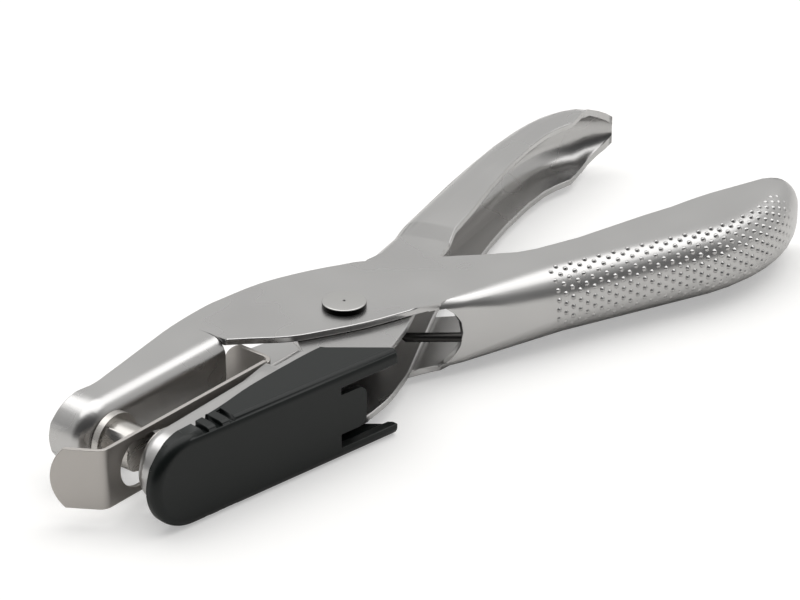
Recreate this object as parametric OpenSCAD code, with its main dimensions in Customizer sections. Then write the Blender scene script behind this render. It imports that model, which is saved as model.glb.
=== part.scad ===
// Plier hole punch of pressed sheet steel, lying on its side.
// The pivot axis is Z, the jaws point along -X and the handles along +X.
// The punch jaw and the far handle lie on the +Y side. Z = 0 is the surface it lies on.

/* [Sheet steel levers] */
// Thickness of the sheet that both levers are pressed from
sheet_t = 1.0; // [0.8:0.1:1.2]
// Width of the punch lever across its two plates
punch_lever_w = 10.7; // [10:0.1:12]
// Width of the die lever across its jaw
die_jaw_w = 10.2; // [9.6:0.1:10.4]
// Side play between the plates of the two levers, each side
plate_play = 0.05; // [0.03:0.01:0.1]
// Outer radius of the bend along both handles
handle_bend = 4.3; // [3:0.1:4.6]
// Outer radius of the bend along the punch jaw
punch_jaw_bend = 2.5; // [1.5:0.1:3]
// Outer radius of the bend along the die jaw
die_jaw_bend = 1.7; // [1.2:0.1:2.2]
// Length of the straighter middle stretch of the punch lever's grip
punch_grip_len = 26.5; // [20:0.5:34]
// Length of the straighter middle stretch of the die lever's grip
die_grip_len = 21; // [16:0.5:28]

/* [Punch and die] */
// Distance from the pivot axis to the punch axis
jaw_reach = 41.2; // [38:0.1:44]
// Diameter of the punched hole
punch_d = 6; // [5:0.1:6.4]
// Length of the punch from the jaw's web to its tip
punch_len = 5.6; // [5:0.1:6]
// Diameter of the shoulder at the punch's root
shoulder_d = 7.9; // [7:0.1:8.6]
// Height of the shoulder
shoulder_h = 1.1; // [0.6:0.1:1.4]
// Radial clearance between the punch and the die's cutting edge
die_clearance = 0.18; // [0.14:0.01:0.3]
// Outside diameter of the die bush
die_bush_d = 8.8; // [8:0.1:9.2]
// Length of the die bush
die_bush_len = 3; // [2.2:0.1:3.6]
// Outside diameter of the bush below its collar
die_neck_d = 7.8; // [7.6:0.1:8]

/* [Stripper plate] */
// Thickness of the stripper plate
strip_t = 0.65; // [0.5:0.05:0.8]
// Height of the stripper plate
strip_w = 8.8; // [7.8:0.1:9.2]
// Width of the oblong hole that the punch passes through
strip_slot_w = 6.84; // [6.6:0.02:7.2]
// Length of the front flap along its straight edges
flap_len = 4.4; // [3:0.1:6]
// Length of the rear tab along its straight edges
tab_len = 4.5; // [2.5:0.1:5]

/* [Pivot and spring] */
// Diameter of the rivet's shank
rivet_d = 4.5; // [3.6:0.1:5]
// Diameter of the rivet's heads
rivet_head_d = 6.25; // [5.8:0.05:8]
// Height of the upper rivet head
rivet_head_t = 0.85; // [0.5:0.05:1.2]
// Radial clearance of the rivet in the levers
rivet_play = 0.04; // [0.02:0.01:0.08]
// Wall of the sleeve inside the spring
sleeve_wall = 0.8; // [0.5:0.1:1.1]
// Diameter of the spring wire
spring_wire = 1.4; // [1:0.1:1.6]
// Number of turns of the spring
spring_turns = 2.8; // [0.8:1:2.8]

/* [Chip catcher] */
// Width of the chip catcher, which rests on the table with the lower rivet head
catcher_w = 13.2; // [12.8:0.1:13.6]
// Wall of the chip catcher
catcher_wall = 1.4; // [1:0.1:1.4]
// Rounding of the catcher's outer edges
catcher_round = 1.3; // [0.8:0.1:1.6]
// Length of the catcher from the centre of its nose to its closed end
catcher_len = 25.5; // [24:0.5:27]
// Diameter of the snap pins
snap_pin_d = 2.4; // [2:0.1:2.8]

/* [Hidden] */
$fn = 64;

steel = [0.68, 0.67, 0.66];
bright_steel = [0.78, 0.78, 0.79];
dark_wire = [0.25, 0.25, 0.26];
black_plastic = [0.15, 0.17, 0.17];

// Heights from the middle plane of the tool
punch_half = punch_lever_w / 2;
die_jaw_half = die_jaw_w / 2;
die_pivot_half = punch_half - sheet_t - plate_play;
catcher_half = catcher_w / 2;
mid_z = catcher_half;
foot_head_t = catcher_half - punch_half;

// Depth of the flanges before their free edges are trimmed
flange = 12.8;
beyond = 60;
arc_parts = 6;
// The pivot plates lie this much inside the faces of the channels that they join
skin = 0.01;
plate_lap = 0.2;
run_lap = 0.2;
wedge_lap = 5;

// Punch jaw: where its web's face stands at the punch, and its direction
punch_face_y = 3.9;
punch_slope = 3;
punch_web_len = 23;
punch_jaw_start = [-jaw_reach, punch_face_y, punch_slope];

// Die jaw, seen mirrored so that its hollow is on the left of its path too
die_face_y = 5;
die_slope = 5;
die_jaw_start = [-jaw_reach, die_face_y, -die_slope];
die_flat_len = 16.7;
die_ramp_len = 6.2;
joggle_len = 3;
die_seat_len = 6;
die_axis_shift = 0.55;

// Stripper plate: its far face passes through this point at this slope
strip_face_y = -2.65;
strip_slope = 3;
strip_front = -jaw_reach - 7.5;
strip_rivet_x = -jaw_reach + die_flat_len + 5.75;
strip_rear = strip_rivet_x + 1.1;
strip_bend = 1.2;
flap_turn = 58;
tab_turn = 89;
slot_front = -jaw_reach - 2.1;
slot_rear = -jaw_reach + 0.5;
flap_end_r = 6;
tab_end_r = 4.35;
tab_play = 0.25;
strip_rivet_d = 1.2;
strip_rivet_head_d = 1.8;
strip_rivet_z = 2.3;
strip_rivet_grip = strip_t + sheet_t + 0.3;
shank_d = punch_d - 1.6;
die_collar_t = 1.4;
die_relief = 0.4;
press_play = 0.02;

// Hollow ground across the punch's tip, and the head that its shank is riveted to
tip_hollow_r = 7.5;
tip_hollow = 0.5;
tail_len = 0.8;

// Handles: start point and heading of the web's outer face, then runs of [length, turn]
punch_handle_start = [9.4, -9.45, -26];
punch_handle_run = [[17, 8], [punch_grip_len, -3], [15, 27], [11.5, 28], [5, 36]];
die_handle_start = [14.5, -9.15, -21];
die_handle_run = [[23, 3], [die_grip_len, 5], [9, 8], [20, 55]];
notch_depth = 2.6;
punch_notch_shift = 0.9;
punch_extra = punch_grip_len - 26.5;
die_extra = die_grip_len - 21;

// The handles towards their tips: [distance along the web, width, half height]
punch_tip = [
  for (c = [[46, 12.1], [50, 12.3], [54, 12.1], [58, 11.5], [61.5, 10.6], [64.5, 9.5], [67, 8.2], [69, 6.8]])
    [c[0], c[1], punch_half],
  [70.5, 5.5, punch_half], [71.8, 4.2, punch_half - 0.1],
  [72.8, 3, punch_half - 0.3], [73.6, 1.7, punch_half - 0.7]
];
die_tip = [
  for (c = [[44, 7.4], [50, 7.3], [53, 7.5], [56, 7.7], [58.5, 7.6], [61, 6.6]]) [c[0], c[1], punch_half],
  [63.5, 5.1, punch_half - 0.1], [66, 3.3, punch_half - 0.5], [68, 2.3, punch_half - 1.1],
  [69.6, 1.7, punch_half - 1.9], [70.8, 1.2, punch_half - 2.9]
];
tip_flat = 0.3;

// Sections of the handles: [distance along the web, width, bend, half height]
punch_sections = [
  [0, 5, 1.3, punch_half], [4, 7, 1.8, punch_half], [9, 8, 2.8, punch_half], [13, 9, 3.5, punch_half],
  [15, 10.9, 3.8, punch_half], [18, 9.8, 4.1, punch_half],
  for (c = [[21, 9.4], [28, 9.6], [34, 10.5], [40, 11.5]]) [c[0], c[1], handle_bend, punch_half],
  for (c = punch_tip) [c[0] + punch_extra, c[1], min(handle_bend, c[2] - tip_flat), c[2]]
];
die_sections = [
  [0, 5, 1.3, die_pivot_half], [5, 7, 2.2, die_pivot_half], [9.5, 9.3, 2.9, die_pivot_half],
  [12.3, 9.1, 3.8, punch_half], [16, 9, 4.1, punch_half], [20, 8.9, handle_bend, punch_half],
  [28.5, 8.2, handle_bend, punch_half], [36, 7.7, handle_bend, punch_half],
  for (c = die_tip) [c[0] + die_extra, c[1], min(handle_bend, c[2] - tip_flat), c[2]]
];

// Free edge of the punch lever from its nose to the grip, then the edge of the pivot opening
punch_far_edge = [
  [-jaw_reach - 8, 10.6], [-jaw_reach - 4, 9.8], [-jaw_reach + 1.7, 9.5], [-jaw_reach + 6, 10.3], [-27.8, 12],
  [-20.5, 13.6], [-13.9, 14.4], [-9.9, 14.4], [-2.7, 13.7], [3.6, 11.8], [9.2, 9.3], [13.6, 6.6]
];
punch_near_edge = [
  [-18.2, 5.2], [-15.7, 3], [-11.6, -0.7], [-6.5, -3.4], [-1, -5.8], [5.2, -7.7], [9.7, -9.3]
];

// The same for the die lever, mirrored: its jaw's free edge, then its plates' edge up to the handle
die_far_edge = [[-jaw_reach - 8, 10.6], [-23, 11.2], [-11, 12.9]];
die_crotch_edge = [[-12.8, 13], [-10.4, 13.2], [-6.6, 12.6], [-3.2, 11.7], [1, 10], [5.3, 7.9], [20.9, -1.1]];
die_near_edge = [[-10.6, 1], [-8.5, -3.5], [-4, -6.5], [2, -7.4], [8, -7.6], [14.5, -8.9]];

// Chip catcher: its outer face, its inner edge and the ears behind it
catcher_start = [-jaw_reach - 0.8, -12.45, -5.4];
catcher_total_len = 38;
catcher_gap = catcher_half - catcher_wall;
catcher_edge = [
  [-jaw_reach - 8, -9.9], [-jaw_reach - 4, -9.8], [-jaw_reach, -9.6], [-34.2, -9.1], [-26.8, -8],
  [-16.7, -7.4], [-12.7, -7.4]
];
ear_top = [-12.4, -8];
ear_tip = [-6.4, -14.9];
ear_window_top = 4.4;
ear_window_bottom = 4.8;
tongue_len = 5;
tongue_root = 3;
tongue_t = 0.8;
tongue_inset = 0.45;
tongue_round = 1.5;
tongue_play = 0.3;
snap_pin = [-13.4, -9.9];
snap_play = 0.05;
boss_wall = 0.7;
boss_play = 0.15;
wall_lap = 0.2;
groove_count = 3;
groove_start = 2.5;
groove_pitch = 2.3;
groove_w = 0.9;
groove_depth = 0.35;
groove_len = 3.6;
groove_slant = 0;

// Spring: the leg on the punch handle's web and the leg in the die handle
spring_r = rivet_d / 2 + sleeve_wall + 0.35 + spring_wire / 2;
spring_start_angle = 20;
spring_step = 18;
spring_rise = spring_wire + 0.08;

// Points on a smooth curve through a list of points
function curve_point(a, b, c, d, t) =
  0.5 * (2 * b + (c - a) * t + (2 * a - 5 * b + 4 * c - d) * t * t + (3 * b - a - 3 * c + d) * t * t * t);
function curve(p, parts = 4) = [
  for (i = [0:len(p) - 2], k = [0:parts - 1])
    curve_point(p[max(0, i - 1)], p[i], p[i + 1], p[min(len(p) - 1, i + 2)], k / parts),
  p[len(p) - 1]
];

// A path of straight runs and arcs. A station is [x, y, heading] and a run is [length, turn].
function arc_r(run) = run[0] * 180 / (PI * run[1]);
function after(st, run) = run[1] == 0
  ? [st[0] + run[0] * cos(st[2]), st[1] + run[0] * sin(st[2]), st[2]]
  : let (r = arc_r(run), h = st[2] + run[1])
    [st[0] + r * (sin(h) - sin(st[2])), st[1] - r * (cos(h) - cos(st[2])), h];

// The station at a distance along a path of runs, and a point beside it, towards the hollow
function along(st, runs, s, i = 0) = i == len(runs) - 1 || s <= runs[i][0]
  ? after(st, [s, runs[i][1] * s / runs[i][0]])
  : along(after(st, runs[i]), runs, s - runs[i][0], i + 1);
function beside(st, w) = [st[0] - w * sin(st[2]), st[1] + w * cos(st[2])];

// Solid block with two rounded corners on x = 0, which reaches along +X
module round_block(half, bend, depth) {
  square_half = half - bend;
  translate([bend, -half]) square([depth - bend, 2 * half]);
  translate([0, -square_half]) square([depth, 2 * square_half]);
  for (side = [-1, 1]) translate([bend, side * square_half]) circle(r = bend);
}

// The space inside a channel pressed from such a block
module round_hollow(half, bend, wall, depth) {
  translate([wall, 0]) round_block(half - wall, max(bend - wall, wall / 4), depth);
}

module at_station(st) {
  translate([st[0], st[1], 0]) rotate([0, 0, st[2]]) children();
}

// Carries a section along a straight run, which may start early and end late
module sweep(st, length, early = 0, late = 0) {
  at_station(st) translate([-early, 0, 0]) rotate([90, 0, 90])
    linear_extrude(early + length + late) children();
}

// One side of a channel's section, from the middle of its web to the free edge at depth w
function section_side(half, bend, w) = w > bend
  ? concat([for (k = [0:arc_parts]) bend_point(half, bend, 90 * k / arc_parts)], [[w, half]])
  : [for (k = [0:arc_parts + 1]) bend_point(half, bend, acos(1 - w / bend) * k / (arc_parts + 1))];
function bend_point(half, bend, a) = [bend * (1 - cos(a)), half - bend + bend * sin(a)];
function backwards(p) = [for (i = [len(p) - 1:-1:0]) p[i]];
function below(p) = [for (q = p) [q[0], -q[1]]];
function channel_outline(half, bend, w) = let (
    outer = section_side(half, bend, w),
    inner = [
      for (q = section_side(half - sheet_t, max(bend - sheet_t, sheet_t / 4), max(w - sheet_t, sheet_t / 10)))
        q + [sheet_t, 0]
    ]
  ) concat(backwards(outer), below(outer), backwards(below(inner)), inner);

// Triangles between the outer and the inner line of a section, whose points start at number from
function end_cap(count, from) = [
  for (k = [0:count / 2 - 2])
    let (a = from + k, b = from + count - 1 - k)
      each [[a, a + 1, b - 1], [a, b - 1, b]]
];

// A pressed channel whose section changes along its path. A section is [distance, width, bend, half].
module channel_loft(st, runs, sections) {
  rings = [
    for (c = sections) let (at = along(st, runs, c[0]))
      [for (q = channel_outline(c[3], c[2], c[1])) [each beside(at, q[0]), q[1]]]
  ];
  count = len(rings[0]);
  last = len(rings) - 1;
  walls = [
    for (i = [0:last - 1], k = [0:count - 1])
      let (a = i * count + k, b = i * count + (k + 1) % count)
        each [[a, b + count, b], [a, a + count, b + count]]
  ];
  ends = concat(end_cap(count, 0), [for (f = end_cap(count, last * count)) backwards(f)]);
  polyhedron([for (r = rings) each r], concat(walls, ends), convexity = 8);
}

// Half-round end of a block, about the axis of the punch
module half_cup(st, half) {
  at_station(st) rotate([-90, 0, 0]) rotate([0, 0, 90])
    rotate_extrude(angle = 180) intersection() {
      mirror([1, -1]) children();
      square([half, flange + 2]);
    }
}

module prism(points, half = beyond / 2) {
  translate([0, 0, -half]) linear_extrude(2 * half) polygon(points);
}

// Punch lever: jaw, pivot plates and handle
punch_jaw_end = after(punch_jaw_start, [punch_web_len, 0]);

module punch_jaw() {
  difference() {
    union() {
      sweep(punch_jaw_start, punch_web_len) round_block(punch_half, punch_jaw_bend, flange);
      half_cup(punch_jaw_start, punch_half) round_block(punch_half, punch_jaw_bend, flange);
    }
    sweep(punch_jaw_start, punch_web_len, late = run_lap)
      round_hollow(punch_half, punch_jaw_bend, sheet_t, flange + 1);
    half_cup(punch_jaw_start, punch_half - sheet_t)
      round_hollow(punch_half, punch_jaw_bend, sheet_t, flange + 1);
  }
}

// Points of a plate's edge just inside the bend of a handle, from section number last back to the first
function inside_bend(st, runs, sections, last) = [
  for (i = [last:-1:1]) beside(along(st, runs, sections[i][0]), sections[i][2] + plate_lap)
];

module punch_plates() {
  joint = punch_sections[4];
  joint_at = along(punch_handle_start, punch_handle_run, joint[0] + plate_lap / 2);
  outline = concat(
    curve(concat(punch_far_edge, [beside(joint_at, joint[1] - plate_lap / 2)])),
    inside_bend(punch_handle_start, punch_handle_run, punch_sections, 4),
    backwards(curve(punch_near_edge)),
    [beside(punch_jaw_end, punch_jaw_bend + plate_lap), beside(punch_jaw_start, punch_jaw_bend + plate_lap)]
  );
  for (side = [0, 1]) mirror([0, 0, side])
    translate([0, 0, punch_half - sheet_t + skin]) linear_extrude(sheet_t - 2 * skin) intersection() {
      polygon(outline);
      translate([-jaw_reach, -beyond]) square([3 * beyond, 2 * beyond]);
    }
}

// Round notch in the front edge of a handle's web, inside the two plates
module web_notch(st, half, shift = 0) {
  r = (half * half + notch_depth * notch_depth) / (2 * notch_depth);
  reach = asin(half / r);
  edge = [for (k = [-3:3]) [shift + r * cos(reach * k / 3) + notch_depth - r, r * sin(reach * k / 3)]];
  at_station(st) translate([0, handle_bend, 0]) rotate([90, 0, 0])
    linear_extrude(2 * handle_bend) polygon(concat(edge, [[-1, half], [-1, -half]]));
}

module punch_trim() {
  prism(concat(curve(punch_far_edge),
    [[beyond, punch_far_edge[11][1]], [beyond, -beyond], [-beyond, -beyond],
      [-beyond, punch_far_edge[0][1]]]));
}

module punch_lever_body() {
  difference() {
    union() {
      intersection() {
        punch_jaw();
        punch_trim();
      }
      punch_plates();
      channel_loft(punch_handle_start, punch_handle_run, punch_sections);
    }
    web_notch(punch_handle_start, punch_half - sheet_t, punch_notch_shift);
    cylinder(d = rivet_d + 2 * rivet_play, h = beyond, center = true);
    at_station(punch_jaw_start) rotate([-90, 0, 0])
      cylinder(d = shank_d + 2 * press_play, h = 3 * sheet_t, center = true);
  }
}

module punch_lever() {
  color(steel) translate([0, 0, mid_z]) punch_lever_body();
}

// Die lever, modelled mirrored: the outer form less the hollow inside the sheet
die_flat_end = after(die_jaw_start, [die_flat_len, 0]);
die_seat_x = die_flat_end[0] + die_ramp_len;
die_seat = [die_seat_x, -strip_near_y(die_seat_x), -strip_slope];
die_seat_end = after(die_seat, [die_seat_len, 0]);
die_ramp = die_seat - die_flat_end;
die_ramp_start = [die_flat_end[0], die_flat_end[1], atan2(die_ramp[1], die_ramp[0])];
die_ramp_run = norm([die_ramp[0], die_ramp[1]]);

// Side view of the sheet, whose plates step in behind the jaw. It clears the flat sides by the skin.
function die_profile(less) = let (
    wide = die_jaw_half - less + skin,
    narrow = die_pivot_half - less + skin,
    top = [[-beyond, wide], [die_seat_x - joggle_len, wide], [die_seat_x, narrow], [beyond, narrow]]
  ) concat(top, backwards(below(top)));

module die_side_view(less) {
  translate([0, beyond, 0]) rotate([90, 0, 0]) linear_extrude(2 * beyond) polygon(die_profile(less));
}

// The flat run reaches on past the ramp, where the side view trims it and the hollow clears it
module die_jaw_outer() {
  sweep(die_jaw_start, die_flat_len, late = wedge_lap) round_block(die_jaw_half, die_jaw_bend, flange);
  sweep(die_ramp_start, die_ramp_run, run_lap, run_lap) round_block(die_jaw_half, die_jaw_bend, flange);
  sweep(die_seat, die_seat_len, run_lap) round_block(die_pivot_half, die_jaw_bend, flange);
  half_cup(die_jaw_start, die_jaw_half) round_block(die_jaw_half, die_jaw_bend, flange);
}

module die_jaw_hollow() {
  deep = flange + 1;
  sweep(die_jaw_start, die_flat_len, late = wedge_lap)
    round_hollow(die_jaw_half, die_jaw_bend, sheet_t, deep);
  sweep(die_ramp_start, die_ramp_run, run_lap, run_lap)
    round_hollow(die_jaw_half, die_jaw_bend, sheet_t, deep);
  sweep(die_seat, die_seat_len, run_lap, run_lap) round_hollow(die_pivot_half, die_jaw_bend, sheet_t, deep);
  half_cup(die_jaw_start, die_jaw_half - sheet_t) round_hollow(die_jaw_half, die_jaw_bend, sheet_t, deep);
}

module die_jaw() {
  difference() {
    intersection() {
      die_jaw_outer();
      die_side_view(0);
    }
    intersection() {
      die_jaw_hollow();
      die_side_view(sheet_t);
    }
  }
}

module die_plates() {
  joint = die_sections[2];
  joint_at = along(die_handle_start, die_handle_run, joint[0] - plate_lap / 2);
  outline = concat(
    [[die_seat_x + 1, die_far_edge[1][1]]],
    curve(concat(die_crotch_edge, [beside(joint_at, joint[1] - plate_lap / 2)])),
    inside_bend(die_handle_start, die_handle_run, die_sections, 2),
    backwards(curve(die_near_edge)),
    [beside(die_seat_end, die_jaw_bend + plate_lap), beside(die_seat, die_jaw_bend + plate_lap)]
  );
  for (side = [0, 1]) mirror([0, 0, side])
    translate([0, 0, die_pivot_half - sheet_t + skin]) linear_extrude(sheet_t - 2 * skin) polygon(outline);
}

module die_trim() {
  prism(concat(die_far_edge,
    [[beyond, die_far_edge[2][1]], [beyond, -beyond], [-beyond, -beyond], [-beyond, die_far_edge[0][1]]]));
}

module die_lever_body() {
  difference() {
    union() {
      intersection() {
        die_jaw();
        die_trim();
      }
      die_plates();
      channel_loft(die_handle_start, die_handle_run, die_sections);
    }
    web_notch(die_handle_start, die_pivot_half - sheet_t);
    cylinder(d = rivet_d + 2 * rivet_play, h = beyond, center = true);
    mirror([0, 1, 0]) {
      die_axis() cylinder(d = die_bush_d + 2 * press_play, h = 3 * sheet_t, center = true);
      strip_rivet_places() cylinder(d = strip_rivet_d + 2 * press_play, h = 6, center = true);
    }
    translate([snap_pin[0], -snap_pin[1], 0])
      cylinder(d = snap_pin_d + 2 * snap_play, h = beyond, center = true);
  }
}

module die_lever() {
  color(steel) translate([0, 0, mid_z]) mirror([0, 1, 0]) die_lever_body();
}

// The die's axis: +Z of the children points into the die, away from the punch
module die_axis() {
  translate([-jaw_reach + die_axis_shift, -die_face_y + die_axis_shift * tan(die_slope), 0])
    rotate([0, 0, die_slope]) rotate([90, 0, 0]) children();
}

module die_bush() {
  color(bright_steel) translate([0, 0, mid_z]) die_axis() difference() {
    union() {
      cylinder(d = die_bush_d, h = die_collar_t);
      cylinder(d = die_neck_d, h = die_bush_len);
    }
    translate([0, 0, -1]) cylinder(d = punch_d + 2 * die_clearance, h = die_bush_len + 2);
    translate([0, 0, 1]) cylinder(d = punch_d + 2 * die_clearance + die_relief, h = die_bush_len);
  }
}

// Punch: shoulder, hollow-ground tip, and a shank that is riveted over behind the web
module punch_pin() {
  color(bright_steel) translate([0, 0, mid_z]) at_station(punch_jaw_start) rotate([90, 0, 0]) {
    difference() {
      union() {
        cylinder(d = punch_d, h = punch_len);
        cylinder(d = shoulder_d, h = shoulder_h);
      }
      translate([0, 0, punch_len + tip_hollow_r - tip_hollow]) rotate([90, 0, 0])
        cylinder(r = tip_hollow_r, h = 2 * punch_d, center = true, $fn = 96);
    }
    translate([0, 0, -sheet_t]) cylinder(d = shank_d, h = sheet_t);
    translate([0, 0, -sheet_t - tail_len]) cylinder(d = shank_d + 2 * tail_len, h = tail_len);
  }
}

// Rivet through both levers. Its lower head reaches the table.
module pivot_rivet() {
  color(steel) translate([0, 0, mid_z]) difference() {
    union() {
      cylinder(d = rivet_d, h = 2 * punch_half, center = true);
      translate([0, 0, punch_half]) rivet_head(rivet_head_t);
      mirror([0, 0, 1]) translate([0, 0, punch_half]) rivet_head(foot_head_t);
    }
    translate([0, 0, punch_half + rivet_head_t + 3.8]) sphere(r = 4);
  }
}

module rivet_head(height) {
  edge = 0.2;
  cylinder(d = rivet_head_d, h = height - edge);
  translate([0, 0, height - edge]) cylinder(d1 = rivet_head_d, d2 = rivet_head_d - 2 * edge, h = edge);
}

module pivot_sleeve() {
  inner_half = die_pivot_half - sheet_t;
  color(steel) translate([0, 0, mid_z]) difference() {
    cylinder(d = rivet_d + 2 * sleeve_wall, h = 2 * (inner_half - plate_play), center = true);
    cylinder(d = rivet_d + 2 * rivet_play, h = beyond, center = true);
  }
}

// Torsion spring: one leg hooks on the punch handle's web, the other lies in the die handle
function turn_point(k) = let (a = spring_start_angle + k * spring_step)
  [spring_r * cos(a), spring_r * sin(a), spring_rise * (spring_turns / 2 - k * spring_step / 360)];
spring_count = floor(spring_turns * 360 / spring_step);
spring_path = concat(
  [[11.6, -11.6, 0], [6.4, -5.9, 0], [5.9, -3, 1.1 * spring_rise]],
  [for (k = [0:spring_count]) turn_point(k)],
  [[24, 10.55, -spring_rise * spring_turns / 2]]
);

function unit(v) = v / norm(v);
function wire_direction(p, i) = unit(p[min(len(p) - 1, i + 1)] - p[max(0, i - 1)]);
function wire_ring(p, i, r, sides) = let (
    d = wire_direction(p, i),
    u = unit(cross([0, 0, 1], d)),
    v = cross(d, u)
  ) [for (k = [0:sides - 1]) p[i] + r * (cos(k * 360 / sides) * u + sin(k * 360 / sides) * v)];

module wire(p, r, sides) {
  last = len(p) - 1;
  points = [for (i = [0:last]) each wire_ring(p, i, r, sides)];
  sides_faces = [
    for (i = [0:last - 1], k = [0:sides - 1])
      [i * sides + k, (i + 1) * sides + k, (i + 1) * sides + (k + 1) % sides, i * sides + (k + 1) % sides]
  ];
  ends = [[for (k = [0:sides - 1]) k], [for (k = [sides - 1:-1:0]) last * sides + k]];
  polyhedron(points, concat(sides_faces, ends), convexity = 6);
}

module return_spring() {
  color(dark_wire) translate([0, 0, mid_z]) wire(spring_path, spring_wire / 2, 10);
}

// Stripper plate: one strip with a flap bent up in front and a tab bent up behind
function strip_far_y(x) = strip_face_y + (x + jaw_reach) * tan(strip_slope);
function strip_near_y(x) = strip_far_y(x) - strip_t / cos(strip_slope);
function bend_run(turn) = [strip_bend * PI * abs(turn) / 180, turn];
function stations(st, run, parts = 8) = [for (k = [0:parts]) k == 0 ? st : after(st, run * k / parts)];

module on_strip(x) {
  translate([x, strip_far_y(x), 0]) rotate([0, 0, strip_slope]) children();
}

module strip_rivet_places() {
  for (side = [-1, 1])
    on_strip(strip_rivet_x) translate([0, 0, side * strip_rivet_z]) rotate([90, 0, 0]) children();
}

// The flap is followed backwards from the front of the flat, and the tab forwards from its rear
flap_start = [strip_front, strip_far_y(strip_front), 180 + strip_slope];
flap_root = after(flap_start, bend_run(-flap_turn));
tab_start = [strip_rear, strip_far_y(strip_rear), strip_slope];
tab_root = after(tab_start, bend_run(tab_turn));

module strip_bent() {
  flap = concat(stations(flap_start, bend_run(-flap_turn)), [after(flap_root, [flap_len + flap_end_r, 0])]);
  tab = concat(stations(tab_start, bend_run(tab_turn)), [after(tab_root, [tab_len + tab_end_r, 0])]);
  far_face = concat(backwards([for (st = flap) beside(st, 0)]), [for (st = tab) beside(st, 0)]);
  near_face = concat(backwards([for (st = flap) beside(st, strip_t)]), [for (st = tab) beside(st, -strip_t)]);
  translate([0, 0, -strip_w / 2]) linear_extrude(strip_w) polygon(concat(far_face, backwards(near_face)));
}

// Cuts an end of the strip round, beyond the length of its straight edges
module end_cut(root, straight, end_r, width) {
  centre = straight - sqrt(end_r * end_r - width * width / 4);
  at_station(root) translate([centre, 0, 0]) rotate([90, 0, 0])
    linear_extrude(4 * strip_t, center = true) difference() {
      translate([0, -strip_w]) square([2 * end_r, 2 * strip_w]);
      circle(r = end_r, $fn = 96);
    }
}

module strip_slot() {
  length = (slot_rear - slot_front) / cos(strip_slope);
  on_strip(slot_front) rotate([90, 0, 0]) translate([0, 0, -strip_t]) linear_extrude(3 * strip_t) {
    translate([0, -strip_slot_w / 2]) square([length, strip_slot_w]);
    for (x = [0, length]) translate([x, 0]) circle(d = strip_slot_w);
  }
}

module stripper_plate() {
  tab_w = 2 * (punch_half - sheet_t - tab_play);
  color(bright_steel) translate([0, 0, mid_z]) difference() {
    strip_bent();
    strip_slot();
    end_cut(flap_root, flap_len, flap_end_r, strip_w);
    end_cut(tab_root, tab_len, tab_end_r, tab_w);
    for (side = [0, 1]) mirror([0, 0, side]) on_strip(strip_rear)
      translate([0, -2 * strip_t, tab_w / 2])
        cube([3 * strip_bend, tab_len + tab_end_r + 4 * strip_t, strip_w]);
    strip_rivet_places() cylinder(d = strip_rivet_d + 2 * press_play, h = 6, center = true);
  }
}

module stripper_rivets() {
  color(bright_steel) translate([0, 0, mid_z]) strip_rivet_places() {
    translate([0, 0, -0.35]) cylinder(d = strip_rivet_head_d, h = 0.35);
    cylinder(d = strip_rivet_d, h = strip_rivet_grip);
    translate([0, 0, strip_rivet_grip]) cylinder(d = strip_rivet_head_d, h = 0.5);
  }
}

// Chip catcher: a moulded box open towards the die, with two ears and their snap pins
module catcher_shell() {
  intersection() {
    union() {
      sweep(catcher_start, catcher_total_len) catcher_section();
      half_cup(catcher_start, catcher_half) catcher_section();
    }
    prism(concat(curve(catcher_edge),
      [ear_top, ear_tip, ear_tip - [0, flange], [-beyond, -2 * flange], [-beyond, catcher_edge[0][1]]]));
  }
}

module catcher_section() {
  difference() {
    round_block(catcher_half, catcher_round, flange);
    round_hollow(catcher_half, catcher_round, catcher_wall, flange);
  }
}

module catcher_window() {
  at_station(catcher_start) translate([catcher_len, -1, -ear_window_bottom])
    cube([catcher_total_len, catcher_wall + 1.5, ear_window_top + ear_window_bottom]);
}

// Thumb tongue that runs on from the closed end and passes between the lever's plates
module catcher_tongue() {
  half = die_pivot_half - sheet_t - tongue_play;
  at_station(catcher_start) translate([catcher_len - tongue_root, tongue_inset + tongue_t, -half])
    rotate([90, 0, 0]) linear_extrude(tongue_t)
      offset(r = tongue_round) offset(delta = -tongue_round) square([tongue_root + tongue_len, 2 * half]);
}

module snap_pins() {
  for (side = [0, 1]) mirror([0, 0, side]) translate([snap_pin[0], snap_pin[1], 0]) {
    translate([0, 0, die_pivot_half + boss_play])
      cylinder(d = snap_pin_d + 2 * boss_wall, h = catcher_gap - die_pivot_half - boss_play + wall_lap);
    translate([0, 0, die_pivot_half - sheet_t])
      cylinder(d = snap_pin_d, h = catcher_gap - die_pivot_half + sheet_t + wall_lap);
  }
}

// Slanted grip grooves across the shoulder at the front of the catcher, on both sides
module grip_grooves() {
  for (side = [0, 1], i = [0:groove_count - 1]) mirror([0, 0, side])
    at_station(catcher_start) translate([groove_start + i * groove_pitch, 0, catcher_half - groove_depth])
      rotate([0, 0, groove_slant]) translate([-groove_w / 2, -2 * groove_w, 0])
        cube([groove_w, groove_len + 2 * groove_w, 2 * groove_depth]);
}

module chip_catcher() {
  color(black_plastic) translate([0, 0, mid_z]) {
    difference() {
      catcher_shell();
      catcher_window();
      grip_grooves();
    }
    catcher_tongue();
    snap_pins();
  }
}

punch_lever();
die_lever();
pivot_rivet();
pivot_sleeve();
return_spring();
punch_pin();
die_bush();
stripper_plate();
stripper_rivets();
chip_catcher();
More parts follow.
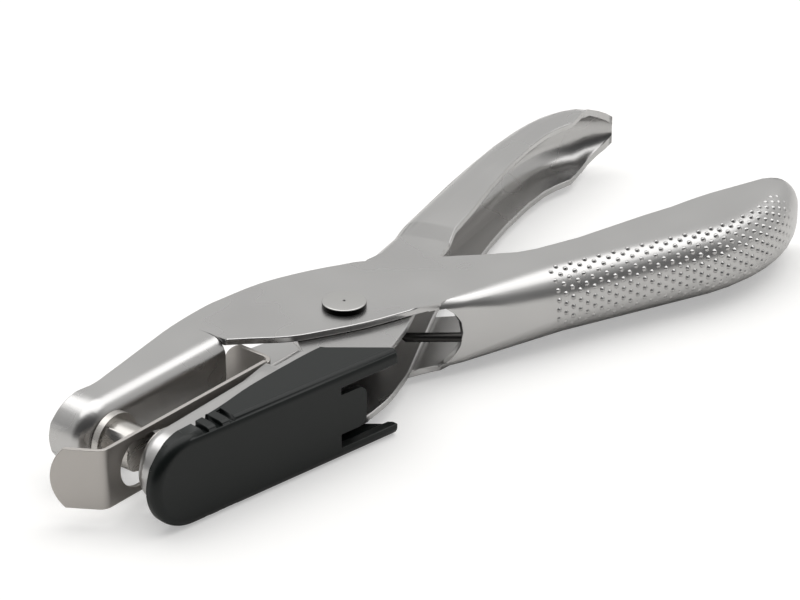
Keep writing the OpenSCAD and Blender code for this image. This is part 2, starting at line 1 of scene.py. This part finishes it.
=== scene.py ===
import bmesh
import bpy
import numpy as np
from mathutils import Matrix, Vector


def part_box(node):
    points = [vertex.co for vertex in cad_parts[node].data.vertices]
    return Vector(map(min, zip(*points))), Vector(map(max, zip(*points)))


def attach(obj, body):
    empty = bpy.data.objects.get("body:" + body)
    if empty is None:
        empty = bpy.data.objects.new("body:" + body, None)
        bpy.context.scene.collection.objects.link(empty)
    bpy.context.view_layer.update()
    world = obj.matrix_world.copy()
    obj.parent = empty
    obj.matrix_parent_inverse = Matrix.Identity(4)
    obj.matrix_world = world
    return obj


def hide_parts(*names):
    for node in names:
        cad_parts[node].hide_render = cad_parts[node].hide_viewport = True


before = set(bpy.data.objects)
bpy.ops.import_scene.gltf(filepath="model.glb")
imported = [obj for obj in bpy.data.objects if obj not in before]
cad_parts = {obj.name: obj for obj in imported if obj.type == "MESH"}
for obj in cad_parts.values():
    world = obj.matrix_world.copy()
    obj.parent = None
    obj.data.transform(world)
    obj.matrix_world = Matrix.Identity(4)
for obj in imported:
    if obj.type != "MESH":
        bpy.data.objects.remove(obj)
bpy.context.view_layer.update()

# White table and soft light
# The punch lies on a white paper table in a light tent. A large soft panel overhead gives the
# plated sheet its long pale gradients, and the table keeps a weak shadow.
MM = 0.001
VIEW_FROM = (-316.6 * MM, -295.5 * MM, 233.5 * MM)
VIEW_TURN = (63, 0, -48)
VIEW_LENS_MM, VIEW_SENSOR_MM, VIEW_NEAR = 157.5, 36, 10 * MM
TABLE_HALF = 1.6
PAPER_GLOW, GLOW_SHARE = 1.5, 0.25
OPEN_WAY, OPEN_FROM = (-0.743, -0.669, 0.0), 0.55


def linear(hex_code):
    """sRGB hex colour as linear red, green, blue and alpha."""
    srgb = np.array([int(hex_code[k:k + 2], 16) for k in (0, 2, 4)]) / 255
    lin = np.where(srgb <= 0.04045, srgb / 12.92, ((srgb + 0.055) / 1.055) ** 2.4)
    return (*lin.tolist(), 1.0)


def new_finish(name):
    """A new node material, and the surface shader that it starts with."""
    made = bpy.data.materials.new(name)
    made.use_nodes = True
    return made, made.node_tree.nodes["Principled BSDF"]


def add_node(tree, kind, feeds=None, **settings):
    """Adds a node and sets its properties and inputs by name. feeds links its inputs to outputs."""
    made = tree.nodes.new(kind)
    for key, value in settings.items():
        if hasattr(made, key):
            setattr(made, key, value)
        else:
            made.inputs[key.replace("_", " ")].default_value = value
    for key, source in (feeds or {}).items():
        tree.links.new(source, made.inputs[key])
    return made


def piece_from(name, verts, faces, finish, smooth=True):
    """A mesh object from points in metres and faces of point numbers, with its finish."""
    mesh = bpy.data.meshes.new(name)
    mesh.from_pydata(np.asarray(verts, float).tolist(), [], [tuple(map(int, f)) for f in faces])
    mesh.polygons.foreach_set("use_smooth", np.full(len(mesh.polygons), smooth))
    mesh.materials.append(finish)
    mesh.update()
    made = bpy.data.objects.new(name, mesh)
    bpy.context.scene.collection.objects.link(made)
    return made


scene = bpy.context.scene
scene.view_settings.view_transform = "Standard"
camera = bpy.data.objects.new("camera", bpy.data.cameras.new("camera"))
camera.location = VIEW_FROM
camera.rotation_euler = np.radians(VIEW_TURN).tolist()
camera.data.lens = VIEW_LENS_MM
camera.data.sensor_width = VIEW_SENSOR_MM
camera.data.clip_start = VIEW_NEAR
scene.collection.objects.link(camera)
scene.camera = camera

table_paper, paper_shader = new_finish("white_table_paper")
paper_shader.inputs["Base Color"].default_value = linear("f2f1ef")
paper_shader.inputs["Roughness"].default_value = 0.9
# Seen straight from the camera, a share of the paper glows, so that it is white round a soft shadow
tree = table_paper.node_tree
seen = add_node(tree, "ShaderNodeLightPath")
lit_paper = add_node(tree, "ShaderNodeEmission", Color=linear("ffffff"), Strength=PAPER_GLOW)
share = add_node(tree, "ShaderNodeMath", {0: seen.outputs["Is Camera Ray"]}, operation="MULTIPLY")
share.inputs[1].default_value = GLOW_SHARE
paper_mix = add_node(
    tree, "ShaderNodeMixShader",
    {0: share.outputs[0], 1: paper_shader.outputs[0], 2: lit_paper.outputs[0]},
)
tree.links.new(paper_mix.outputs[0], tree.nodes["Material Output"].inputs["Surface"])
corners = np.array([(-1, -1, 0), (1, -1, 0), (1, 1, 0), (-1, 1, 0)]) * TABLE_HALF
table = piece_from("white_table", corners, [(0, 1, 2, 3)], table_paper, smooth=False)

world = bpy.data.worlds.new("light_tent")
world.use_nodes = True
scene.world = world
tree = world.node_tree
tent = tree.nodes["Background"]
seen = add_node(tree, "ShaderNodeLightPath")
white = add_node(tree, "ShaderNodeBackground", Color=linear("ffffff"), Strength=1.0)
heading = add_node(tree, "ShaderNodeTexCoord")
# The metal mirrors a pale grey far wall and a dark open side towards -X and -Y. The camera sees white
open_side = add_node(
    tree, "ShaderNodeVectorMath", {0: heading.outputs["Generated"]}, operation="DOT_PRODUCT"
)
open_side.inputs[1].default_value = OPEN_WAY
walls = add_node(tree, "ShaderNodeValToRGB", {0: open_side.outputs["Value"]})
walls.color_ramp.elements[0].position = 0.0
walls.color_ramp.elements[0].color = linear("dcdcdb")
walls.color_ramp.elements[1].position = OPEN_FROM
walls.color_ramp.elements[1].color = linear("4c4c4d")
tree.links.new(walls.outputs[0], tent.inputs["Color"])
tent.inputs["Strength"].default_value = 1.0
tent_mix = add_node(
    tree, "ShaderNodeMixShader",
    {0: seen.outputs["Is Camera Ray"], 1: tent.outputs[0], 2: white.outputs[0]},
)
tree.links.new(tent_mix.outputs[0], tree.nodes["World Output"].inputs["Surface"])


def soft_panel(name, place, aim, size, power):
    """A lamp panel at a place in metres, turned to face the aim, with its first side level."""
    lamp = bpy.data.lights.new(name, "AREA")
    lamp.shape = "RECTANGLE"
    lamp.size, lamp.size_y = size
    lamp.energy = power
    made = bpy.data.objects.new(name, lamp)
    made.location = place
    away = np.array(place, float) - np.array(aim, float)
    tilt = float(np.arctan2(np.hypot(away[0], away[1]), away[2]))
    made.rotation_euler = (tilt, 0, float(np.arctan2(away[0], -away[1])))
    scene.collection.objects.link(made)


soft_panel("panel_overhead", (0.12, 0.11, 0.8), (0, 0, 0), (1.4, 0.95), 6.5)

# Punch lever
# One blank of 1 mm sheet steel, pressed into a jaw, two pivot plates and a grip handle, then
# nickel plated to a satin sheen. It is copied from the CAD sheet and given broken edges.
PLATE_GRAIN, PLATE_CLOUD, PLATE_RELIEF = 0.3 * MM, 14 * MM, 0.02 * MM
satin_nickel, shader = new_finish("satin_nickel_plate")
tree = satin_nickel.node_tree
shader.inputs["Base Color"].default_value = linear("bdbcbb")
shader.inputs["Metallic"].default_value = 1.0
place = add_node(tree, "ShaderNodeTexCoord").outputs["Object"]
# Barrel-finished plate has a matt grain of about 0.15 mm, drawn at 0.3 mm so that it shows. Its
# sheen comes and goes over 14 mm, which breaks the long reflections up a little
grain = add_node(
    tree, "ShaderNodeTexNoise", {"Vector": place}, Scale=1 / PLATE_GRAIN, Detail=3.0
)
cloud = add_node(
    tree, "ShaderNodeTexNoise", {"Vector": place}, Scale=1 / PLATE_CLOUD, Detail=2.0
)
sheen = add_node(
    tree, "ShaderNodeMapRange", {"Value": cloud.outputs[0]},
    From_Min=0.3, From_Max=0.7, To_Min=0.24, To_Max=0.34,
)
tree.links.new(sheen.outputs[0], shader.inputs["Roughness"])
relief = add_node(
    tree, "ShaderNodeBump", {"Height": grain.outputs[0]}, Strength=0.12, Distance=PLATE_RELIEF
)
tree.links.new(relief.outputs[0], shader.inputs["Normal"])

# Points this close are one, and faces this near to level are one flat. Past the sharp turn an edge
# is a cut edge, and within 32 degrees two edges lie along each other
MERGE = 0.03 * MM
FLAT_TURN = np.radians(1.0)
SHARP_TURN = np.radians(38)
NARROW_COSINE = np.cos(np.radians(32))
EDGE_STEPS = 2


def mark_edges(bm, width):
    """Marks the outer sharp edges to be broken, where their faces and ends leave room for the width.

    A face is too thin if its area is less than the width times its longest edge. An end has no room
    if another edge there lies back along this one, or is smooth and short or runs straight on."""
    mark = bm.edges.layers.float.new("bevel_weight_edge")
    thin = {f for f in bm.faces if f.calc_area() < width * max(e.calc_length() for e in f.edges)}
    sharp = {
        e for e in bm.edges
        if e.is_convex and e.calc_face_angle() > SHARP_TURN and thin.isdisjoint(e.link_faces)
    }
    for edge in sharp:
        room = True
        for end in edge.verts:
            along = (edge.other_vert(end).co - end.co).normalized()
            for other in set(end.link_edges) - {edge}:
                way = other.other_vert(end).co - end.co
                cosine = way.normalized().dot(along)
                open_end = cosine > -NARROW_COSINE and way.length > 2 * width
                room = room and cosine < NARROW_COSINE and (other in sharp or open_end)
        edge[mark] = float(room)


def dressed(node, name, finish, body, edge_mm):
    """A copy of a CAD node with its points merged, its flats joined and its sharp edges broken."""
    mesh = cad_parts[node].data.copy()
    bm = bmesh.new()
    bm.from_mesh(mesh)
    bmesh.ops.remove_doubles(bm, verts=bm.verts, dist=MERGE)
    bmesh.ops.dissolve_limit(bm, angle_limit=FLAT_TURN, verts=bm.verts, edges=bm.edges)
    mark_edges(bm, edge_mm * MM)
    bm.to_mesh(mesh)
    bm.free()
    mesh.materials.clear()
    mesh.materials.append(finish)
    mesh.polygons.foreach_set("use_smooth", np.full(len(mesh.polygons), True))
    mesh.set_sharp_from_angle(angle=SHARP_TURN)
    made = bpy.data.objects.new(name, mesh)
    scene.collection.objects.link(made)
    bevel = made.modifiers.new("broken_edges", "BEVEL")
    bevel.width = edge_mm * MM
    bevel.segments = EDGE_STEPS
    bevel.limit_method = "WEIGHT"
    bevel.harden_normals = True
    bevel.use_clamp_overlap = False
    weighted = made.modifiers.new("even_shading", "WEIGHTED_NORMAL")
    weighted.keep_sharp = True
    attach(made, body)
    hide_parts(node)
    return made


dressed("punch_lever", "punch_lever_sheet", satin_nickel, "punch_side", edge_mm=0.2)

# Grip dots
# The punch handle is held, so small round dots are embossed on its web and upper bend, in
# staggered rows that fade out towards the tip and downwards. They belong to the same plated sheet.
# All in mm and degrees: the grip's path starts at x, y and heading, and has runs of length and turn
GRIP_START = (9.4, -9.45, -26.0)
GRIP_RUNS = ((17, 8), (26.5, -3), (15, 27), (11.5, 28), (5, 36))
GRIP_HALF, GRIP_BEND = 5.35, 4.3
DOT_PITCH, DOT_ROW = 2.4, 0.74
DOT_R, DOT_H, DOT_SUNK = 0.46, 0.3, 0.1
DOTS_FROM, DOTS_TO, DOTS_FADE = 19.1, 68.0, 14.0
ROW_FROM, ROW_TO, ROWS_FADE = -4, 9, 5
FADE_POWER, LEAST_SHARE = 0.7, 0.3


def grip_web(s):
    """Centre line of the grip's web in mm: runs of arc, each [length, turn], followed to distance s.

    On an arc of radius r = length / turn the heading h grows evenly, so x moves by
    r (sin h - sin h0) and y by -r (cos h - cos h0)."""
    x, y, head = (np.full(s.shape, float(v)) for v in GRIP_START)
    left = s.astype(float)
    for number, (length, turn) in enumerate(GRIP_RUNS):
        last = number == len(GRIP_RUNS) - 1
        step = np.maximum(left, 0) if last else np.clip(left, 0, length)
        radius = length / np.radians(turn)
        before = np.radians(head)
        after = before + step / radius
        x = x + radius * (np.sin(after) - np.sin(before))
        y = y - radius * (np.cos(after) - np.cos(before))
        head = np.degrees(after)
        left = left - length
    return x, y, np.radians(head)


def grip_skin(s, v):
    """Point and normal of the grip's outer face, at distance s along it and v across it, in mm.

    Across, the face is flat for |v| < half - bend, then a quarter circle of the bend's radius."""
    flat = GRIP_HALF - GRIP_BEND
    turn = np.clip((np.abs(v) - flat) / GRIP_BEND, 0, np.pi / 2)
    depth = GRIP_BEND * (1 - np.cos(turn))
    z = np.sign(v) * (np.minimum(np.abs(v), flat) + GRIP_BEND * np.sin(turn))
    x, y, head = grip_web(s)
    inward = np.stack([-np.sin(head), np.cos(head), 0 * head], -1)
    up = np.array([0.0, 0.0, 1.0])
    point = np.stack([x, y, 0 * x], -1) + depth[..., None] * inward + z[..., None] * up
    normal = -np.cos(turn)[..., None] * inward + (np.sign(v) * np.sin(turn))[..., None] * up
    return point, normal


def dome_field(s, v, height, rings=4, around=12):
    """Domes on the grip, each a paraboloid over a circle of radius DOT_R.

    At the radius q times its own, q from 0 to 1, it rises by h (1 - q^2), with its rim sunk in."""
    centre, normal = grip_skin(s, v)
    along = np.cross(normal, [0.0, 0.0, 1.0])
    along /= np.linalg.norm(along, axis=1)[:, None]
    across = np.cross(normal, along)
    q = np.concatenate([[0.0], np.repeat(np.arange(1, rings + 1) / rings, around)])
    angle = np.concatenate([[0.0], np.tile(np.arange(around) * 2 * np.pi / around, rings)])
    flat = DOT_R * q
    rise = height[:, None] * (1 - q ** 2)[None] * (1 + DOT_SUNK / DOT_H) - DOT_SUNK
    points = (
        centre[:, None]
        + (flat * np.cos(angle))[None, :, None] * along[:, None]
        + (flat * np.sin(angle))[None, :, None] * across[:, None]
        + rise[..., None] * normal[:, None]
    )
    here = 1 + np.arange(around)
    after = 1 + (np.arange(around) + 1) % around
    fan = [(0, i, j) for i, j in zip(here, after)]
    bands = [
        (inner + i, inner + around + i, inner + around + j, inner + j)
        for inner in range(0, (rings - 1) * around, around) for i, j in zip(here, after)
    ]
    dome_points = 1 + rings * around
    faces = [tuple(n * dome_points + i for i in face) for n in range(len(s)) for face in fan + bands]
    return points.reshape(-1, 3), faces


mid_height = (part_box("punch_lever")[0].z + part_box("punch_lever")[1].z) / 2
row = np.arange(ROW_FROM, ROW_TO + 1)
column = np.arange(int((DOTS_TO - DOTS_FROM) / DOT_PITCH) + 1)
row, column = (g.ravel() for g in np.meshgrid(row, column))
dot_s = DOTS_FROM + DOT_PITCH * (column + 0.5 * (row % 2))
fade_tip = np.clip((DOTS_TO - dot_s) / DOTS_FADE, 0.0, 1.0)
fade_down = np.clip((row - ROW_FROM + 1) / ROWS_FADE, 0.0, 1.0)
dot_h = DOT_H * (fade_tip * fade_down) ** FADE_POWER
kept = dot_h > LEAST_SHARE * DOT_H
points, faces = dome_field(dot_s[kept], DOT_ROW * row[kept], dot_h[kept])
grip_dots = piece_from("grip_dots", points * MM + [0, 0, mid_height], faces, satin_nickel)
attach(grip_dots, "punch_side")

# Die lever
# The second blank of the same sheet. Its jaw carries the die, its plates run inside the punch
# lever's, and its handle curls at the tip.
dressed("die_lever", "die_lever_sheet", satin_nickel, "die_side", edge_mm=0.2)

# Pivot rivet and sleeve
# A turned rivet with flat, soft-edged heads and a tiny centre mark, closed over a spacer tube that
# keeps the plates apart inside the spring. Below the top head's face the rivet is painted black:
# painted shade in the centre mark, and a painted dark reflection on the heads' sides and lower head.
rivet_low, rivet_high = (np.array(c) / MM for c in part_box("pivot_rivet"))
plates_low, plates_high = (c.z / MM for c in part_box("punch_lever"))
HEAD_R, SHANK_R, HEAD_ROUND = (rivet_high[0] - rivet_low[0]) / 2, 2.25, 0.2
MARK_R, MARK_DEEP = 0.25, 0.25
RIVET_SIDES, RIVET_SHARP = 96, np.radians(30)
# Painted shade: below the first height, in mm, the rivet is painted black, and by the second it has
# its steel colour
PAINTED_SHADE_BELOW, PAINTED_SHADE_FADED = rivet_high[2] - 0.16, rivet_high[2] - 0.08


def turned_rivet():
    """Rivet in mm: a profile of radius r and height z turned round Z, with a centre point at each end.

    A head's rim is r = R - e (1 - cos a), z = top - e (1 - sin a) for a from 0 to 90 degrees, and
    the centre mark is z = top - deep (1 - q^2) at the radius q times its own."""
    a = np.radians(np.linspace(0, 90, 7))
    rim, drop = HEAD_R - HEAD_ROUND * (1 - np.cos(a)), HEAD_ROUND * (1 - np.sin(a))
    q = np.linspace(1, 0.2, 5)
    r = np.concatenate([rim[::-1], [HEAD_R, SHANK_R, SHANK_R, HEAD_R], rim, MARK_R * q])
    z = np.concatenate([
        rivet_low[2] + drop[::-1], [plates_low, plates_low, plates_high, plates_high],
        rivet_high[2] - drop, rivet_high[2] - MARK_DEEP * (1 - q ** 2),
    ])
    turn = np.arange(RIVET_SIDES) * 2 * np.pi / RIVET_SIDES
    rings = np.stack([r[:, None] * np.cos(turn), r[:, None] * np.sin(turn), z[:, None] + 0 * turn], -1)
    ends = [(0, 0, rivet_low[2]), (0, 0, rivet_high[2] - MARK_DEEP)]
    foot = len(r) * RIVET_SIDES
    mark, last_ring = foot + 1, foot - RIVET_SIDES
    here = np.arange(RIVET_SIDES)
    after = (here + 1) % RIVET_SIDES
    faces = [
        (ring + i, ring + j, ring + RIVET_SIDES + j, ring + RIVET_SIDES + i)
        for ring in range(0, last_ring, RIVET_SIDES) for i, j in zip(here, after)
    ]
    faces += [(foot, j, i) for i, j in zip(here, after)]
    faces += [(mark, last_ring + i, last_ring + j) for i, j in zip(here, after)]
    return np.concatenate([rings.reshape(-1, 3), ends]), faces


rivet_steel, shader = new_finish("rivet_steel_with_painted_shade")
tree = rivet_steel.node_tree
shader.inputs["Metallic"].default_value = 1.0
shader.inputs["Roughness"].default_value = 0.3
place = add_node(tree, "ShaderNodeTexCoord").outputs["Object"]
height = add_node(tree, "ShaderNodeSeparateXYZ", {0: place})
# Painted shade and dark reflection: black below the top head's face, steel colour on the face itself
unshaded_top = add_node(
    tree, "ShaderNodeMapRange", {"Value": height.outputs["Z"]},
    From_Min=PAINTED_SHADE_BELOW * MM, From_Max=PAINTED_SHADE_FADED * MM,
)
painted_shade_ramp = add_node(tree, "ShaderNodeValToRGB", {0: unshaded_top.outputs[0]})
painted_shade_ramp.color_ramp.elements[0].color = linear("141413")
painted_shade_ramp.color_ramp.elements[1].color = linear("c0bfbd")
tree.links.new(painted_shade_ramp.outputs[0], shader.inputs["Base Color"])
points, faces = turned_rivet()
rivet = piece_from("rivet_with_heads", points * MM, faces, rivet_steel)
rivet.data.set_sharp_from_angle(angle=RIVET_SHARP)
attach(rivet, "die_side")
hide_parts("pivot_rivet")
dressed("pivot_sleeve", "spacer_tube", satin_nickel, "die_side", edge_mm=0.08)

# Return spring
# Hard-drawn wire of 1.4 mm, coiled round the sleeve and oiled black, with one leg hooked on the
# punch handle's web and the other lying in the die handle.
DRAW_MARKS = 0.8 * MM
oiled_wire, shader = new_finish("oiled_spring_wire")
tree = oiled_wire.node_tree
shader.inputs["Base Color"].default_value = linear("3b3a39")
shader.inputs["Metallic"].default_value = 1.0
place = add_node(tree, "ShaderNodeTexCoord").outputs["Object"]
# The drawing die and the oil leave dull and shiny patches of about half the wire's thickness
patches = add_node(
    tree, "ShaderNodeTexNoise", {"Vector": place}, Scale=1 / DRAW_MARKS, Detail=4.0
)
sheen = add_node(
    tree, "ShaderNodeMapRange", {"Value": patches.outputs[0]}, To_Min=0.25, To_Max=0.5
)
tree.links.new(sheen.outputs[0], shader.inputs["Roughness"])
dressed("return_spring", "spring_wire", oiled_wire, "die_side", edge_mm=0.05)

# Punch and die
# Hardened tool steel, ground and polished: the punch has a shoulder and a hollow-ground tip, and
# the die is a short bush let into the jaw.
GRIND_LENGTH, GRIND_STRETCH, GRIND_RELIEF = 4 * MM, 18.0, 0.03 * MM
ground_steel, shader = new_finish("ground_tool_steel")
tree = ground_steel.node_tree
shader.inputs["Base Color"].default_value = linear("bdbab6")
shader.inputs["Metallic"].default_value = 1.0
place = add_node(tree, "ShaderNodeTexCoord").outputs["Object"]
# Grinding leaves lines 4 mm long and 0.1 mm apart, drawn 0.22 mm apart so that they show
spread = add_node(
    tree, "ShaderNodeMapping", {"Vector": place}, Scale=(1.0, 1.0, GRIND_STRETCH)
)
lines = add_node(
    tree, "ShaderNodeTexNoise", {"Vector": spread.outputs[0]}, Scale=1 / GRIND_LENGTH, Detail=4.0
)
sheen = add_node(tree, "ShaderNodeMapRange", {"Value": lines.outputs[0]}, To_Min=0.2, To_Max=0.38)
tree.links.new(sheen.outputs[0], shader.inputs["Roughness"])
relief = add_node(
    tree, "ShaderNodeBump", {"Height": lines.outputs[0]}, Strength=0.15, Distance=GRIND_RELIEF
)
tree.links.new(relief.outputs[0], shader.inputs["Normal"])
dressed("punch_pin", "punch_ground", ground_steel, "punch_side", edge_mm=0.06)
dressed("die_bush", "die_bush_ground", ground_steel, "die_side", edge_mm=0.06)

# Stripper plate
# A strip of spring steel that pushes the paper off the punch. Its front is bent up as a rounded
# flap, its rear as a tab between the plates, and two rivets hold it to the die jaw.
satin_strip, shader = new_finish("satin_spring_strip")
shader.inputs["Base Color"].default_value = linear("b9b5b1")
shader.inputs["Metallic"].default_value = 1.0
shader.inputs["Roughness"].default_value = 0.45
dressed("stripper_plate", "stripper_strip", satin_strip, "die_side", edge_mm=0.12)
dressed("stripper_rivets", "stripper_rivet_heads", ground_steel, "die_side", edge_mm=0.06)

# Chip catcher
# A moulded tray of black polystyrene that snaps into the die lever and swings open. It comes out
# of the mould with a fine satin texture and rounded rims.
SPARK, SPARK_RELIEF, MOULD_HAZE = 0.25 * MM, 0.03 * MM, 9 * MM
GROOVE_DEEP, GROOVE_MORE, LEVEL_SLACK = 0.35 * MM, 0.3 * MM, 0.01 * MM
black_styrene, shader = new_finish("black_moulded_styrene")
tree = black_styrene.node_tree
shader.inputs["Base Color"].default_value = linear("0e1312")
shader.inputs["IOR"].default_value = 1.5
shader.inputs["Specular IOR Level"].default_value = 0.28
place = add_node(tree, "ShaderNodeTexCoord").outputs["Object"]
# The mould's spark texture is about 0.1 mm, drawn at 0.25 mm so that it shows
spark = add_node(tree, "ShaderNodeTexNoise", {"Vector": place}, Scale=1 / SPARK, Detail=2.0)
haze = add_node(tree, "ShaderNodeTexNoise", {"Vector": place}, Scale=1 / MOULD_HAZE, Detail=2.0)
sheen = add_node(tree, "ShaderNodeMapRange", {"Value": haze.outputs[0]}, To_Min=0.27, To_Max=0.4)
tree.links.new(sheen.outputs[0], shader.inputs["Roughness"])
relief = add_node(
    tree, "ShaderNodeBump", {"Height": spark.outputs[0]}, Strength=0.15, Distance=SPARK_RELIEF
)
tree.links.new(relief.outputs[0], shader.inputs["Normal"])
moulding = dressed(
    "chip_catcher", "chip_catcher_moulding", black_styrene, "catcher", edge_mm=0.15
)
# The grip grooves' floors lie 0.35 mm under the two flat sides, and 0.65 mm here to stay dark
tray_low, tray_high = (c.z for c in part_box("chip_catcher"))
tray_middle = (tray_low + tray_high) / 2
floor_off = (tray_high - tray_low) / 2 - GROOVE_DEEP
floors = [
    face for face in moulding.data.polygons
    if abs(face.normal.z) > 0.99 and abs(abs(face.center.z - tray_middle) - floor_off) < LEVEL_SLACK
]
for corner in {v for face in floors for v in face.vertices}:
    point = moulding.data.vertices[corner].co
    point.z -= GROOVE_MORE * np.sign(point.z - tray_middle)
